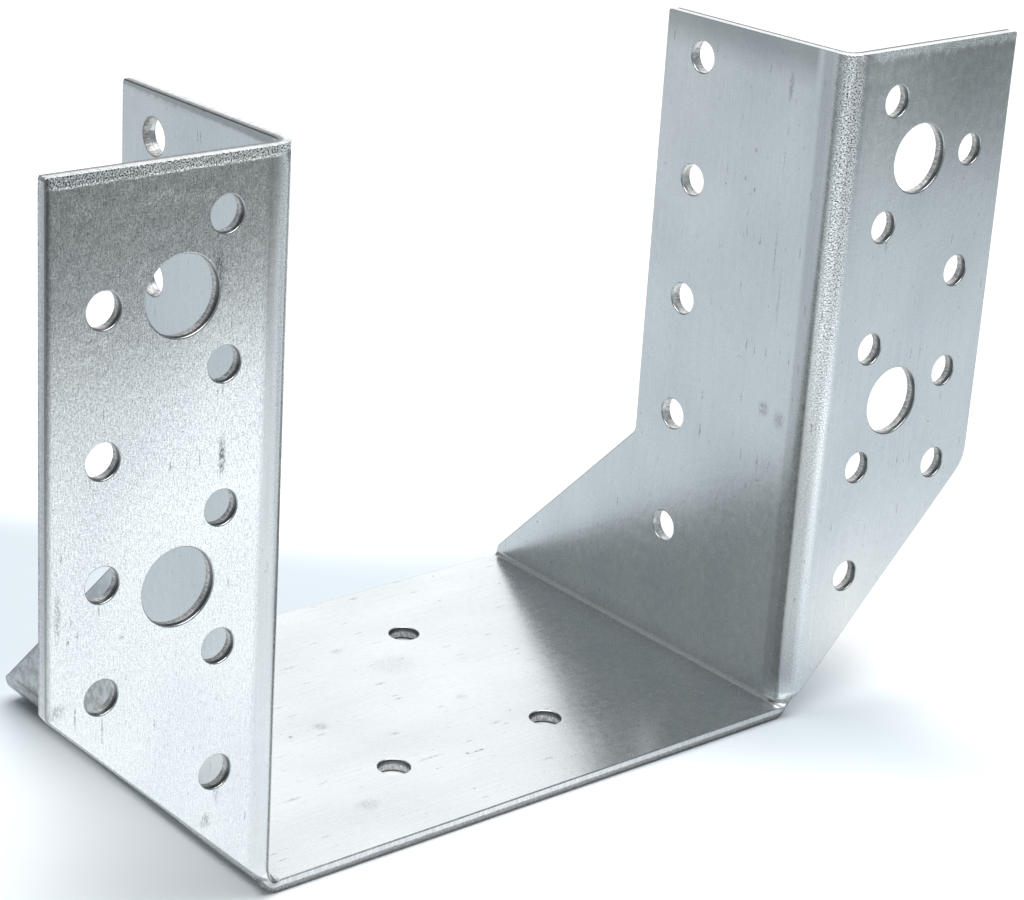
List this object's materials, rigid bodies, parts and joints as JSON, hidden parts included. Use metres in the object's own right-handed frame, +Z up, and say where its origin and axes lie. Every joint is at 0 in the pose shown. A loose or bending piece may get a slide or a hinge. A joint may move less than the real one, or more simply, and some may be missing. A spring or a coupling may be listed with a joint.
{
  "type": "beam hanger",
  "caption": "Folded sheet steel hanger that carries the end of a timber beam: a seat plate, two side plates and two outward flanges with nail and bolt holes.",
  "frame": {"origin": "on the underside of the seat, at the middle of the outline in plan: half way across the seat, and half way between the flange faces and the rear edge of the seat", "axes": "+Z up, along the side plates; +X across the seat, from the left flange to the right flange as seen by somebody facing the flanges; +Y away from the carrying timber, along the beam that sits in the hanger"},
  "size_m": [0.175, 0.0734, 0.11],
  "materials": {
    "sheet": "satin hot-dip zinc coating with a fine upright grain"
  },
  "bodies": {
    "root": {"hanger": "sheet"}
  },
  "joints": []
}
